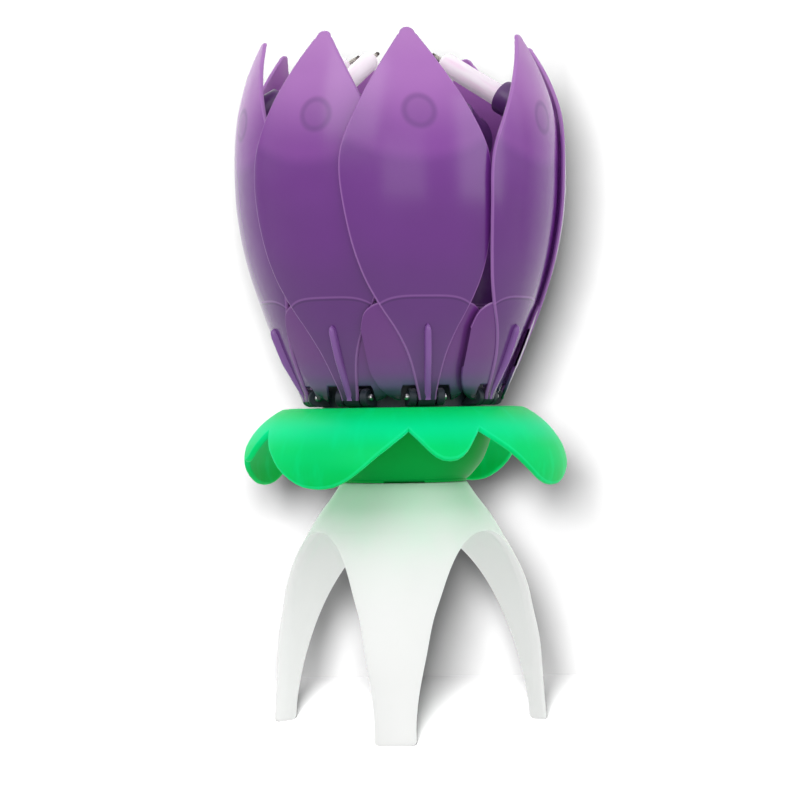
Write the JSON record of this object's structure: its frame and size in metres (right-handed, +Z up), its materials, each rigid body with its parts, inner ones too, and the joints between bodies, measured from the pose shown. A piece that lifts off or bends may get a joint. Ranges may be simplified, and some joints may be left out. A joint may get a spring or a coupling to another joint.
{
  "type": "musical birthday candle",
  "caption": "Closed flower bud of pointed purple petals on a lobed green calyx, over a white bell stand with three legs; the petals open and the flower turns and plays.",
  "frame": {"origin": "on the surface that the feet stand on, under the flower's turning axis", "axes": "+Z up along the turning axis, -Y towards the front leg, +X to the right seen from the front"},
  "size_m": [0.0654, 0.0654, 0.135],
  "materials": {
    "purple_plastic": "glossy, slightly translucent",
    "green_plastic": "glossy moulded",
    "white_plastic": "satin, milky translucent",
    "candle_wax": "waxy, stands in for paraffin wax",
    "cotton": "twisted cotton",
    "rolled_paper": "rolled paper",
    "steel": "plain",
    "brass": "plain",
    "circuit_board": "solder mask",
    "chip_resin": "potting resin"
  },
  "bodies": {
    "base": {"stand": "white_plastic", "calyx": "green_plastic", "music_box_cover": "white_plastic", "circuit_board": "circuit_board", "melody_chip": "chip_resin", "sounder": "brass", "button_cell_1": "steel", "button_cell_2": "steel", "battery_strip": "brass", "motor": "steel"},
    "motor_shaft": {"motor_pinion": "white_plastic"},
    "flower_hub": {"hub": "purple_plastic", "hub_wheel": "white_plastic", "hub_screw": "steel", "opening_spring": "steel", "fountain": "rolled_paper", "fuse": "cotton", "hinge_pin_1": "steel", "hinge_pin_2": "steel", "hinge_pin_3": "steel", "hinge_pin_4": "steel", "hinge_pin_5": "steel", "hinge_pin_6": "steel", "hinge_pin_7": "steel", "hinge_pin_8": "steel"},
    "pusher": {"pusher_plate": "white_plastic"},
    "petal_1": {"petal_1": "purple_plastic", "candle_1": "candle_wax", "wick_1": "cotton"},
    "petal_2": {"petal_2": "purple_plastic", "candle_2": "candle_wax", "wick_2": "cotton"},
    "petal_3": {"petal_3": "purple_plastic", "candle_3": "candle_wax", "wick_3": "cotton"},
    "petal_4": {"petal_4": "purple_plastic", "candle_4": "candle_wax", "wick_4": "cotton"},
    "petal_5": {"petal_5": "purple_plastic", "candle_5": "candle_wax", "wick_5": "cotton"},
    "petal_6": {"petal_6": "purple_plastic", "candle_6": "candle_wax", "wick_6": "cotton"},
    "petal_7": {"petal_7": "purple_plastic", "candle_7": "candle_wax", "wick_7": "cotton"},
    "petal_8": {"petal_8": "purple_plastic", "candle_8": "candle_wax", "wick_8": "cotton"}
  },
  "joints": [
    {"name": "hub_spin", "type": "hinge", "parent": "base", "child": "flower_hub", "pos_m": [0, 0, 0.0599], "axis": [0, 0, 1], "continuous": true},
    {"name": "motor_spin", "type": "hinge", "parent": "base", "child": "motor_shaft", "pos_m": [0, 0.0062, 0.0586], "axis": [0, 0, 1], "continuous": true},
    {"name": "pusher_lift", "type": "slide", "parent": "flower_hub", "child": "pusher", "axis": [0, 0, 1], "range_m": [0, 0.0034], "deforming": ["opening_spring"]},
    {"name": "petal_hinge_1", "type": "hinge", "parent": "flower_hub", "child": "petal_1", "pos_m": [0.00436, -0.01747, 0.0654], "axis": [0.9703, 0.2419, 0], "range_deg": [0, 58]},
    {"name": "petal_hinge_2", "type": "hinge", "parent": "flower_hub", "child": "petal_2", "pos_m": [0.01543, -0.00927, 0.0654], "axis": [0.515, 0.8572, 0], "range_deg": [0, 58]},
    {"name": "petal_hinge_3", "type": "hinge", "parent": "flower_hub", "child": "petal_3", "pos_m": [0.01747, 0.00436, 0.0654], "axis": [-0.2419, 0.9703, 0], "range_deg": [0, 58]},
    {"name": "petal_hinge_4", "type": "hinge", "parent": "flower_hub", "child": "petal_4", "pos_m": [0.00927, 0.01543, 0.0654], "axis": [-0.8572, 0.515, 0], "range_deg": [0, 58]},
    {"name": "petal_hinge_5", "type": "hinge", "parent": "flower_hub", "child": "petal_5", "pos_m": [-0.00436, 0.01747, 0.0654], "axis": [-0.9703, -0.2419, 0], "range_deg": [0, 58]},
    {"name": "petal_hinge_6", "type": "hinge", "parent": "flower_hub", "child": "petal_6", "pos_m": [-0.01543, 0.00927, 0.0654], "axis": [-0.515, -0.8572, 0], "range_deg": [0, 58]},
    {"name": "petal_hinge_7", "type": "hinge", "parent": "flower_hub", "child": "petal_7", "pos_m": [-0.01747, -0.00436, 0.0654], "axis": [0.2419, -0.9703, 0], "range_deg": [0, 58]},
    {"name": "petal_hinge_8", "type": "hinge", "parent": "flower_hub", "child": "petal_8", "pos_m": [-0.00927, -0.01543, 0.0654], "axis": [0.8572, -0.515, 0], "range_deg": [0, 58]}
  ],
  "couplings": [
    {"joint": "motor_spin", "follows": "hub_spin", "ratio": -2.4444},
    {"joint": "petal_hinge_2", "follows": "petal_hinge_1", "ratio": 1},
    {"joint": "petal_hinge_3", "follows": "petal_hinge_1", "ratio": 1},
    {"joint": "petal_hinge_4", "follows": "petal_hinge_1", "ratio": 1},
    {"joint": "petal_hinge_5", "follows": "petal_hinge_1", "ratio": 1},
    {"joint": "petal_hinge_6", "follows": "petal_hinge_1", "ratio": 1},
    {"joint": "petal_hinge_7", "follows": "petal_hinge_1", "ratio": 1},
    {"joint": "petal_hinge_8", "follows": "petal_hinge_1", "ratio": 1},
    {"joint": "pusher_lift", "follows": "petal_hinge_1", "m_per_rad": 0.00335}
  ]
}
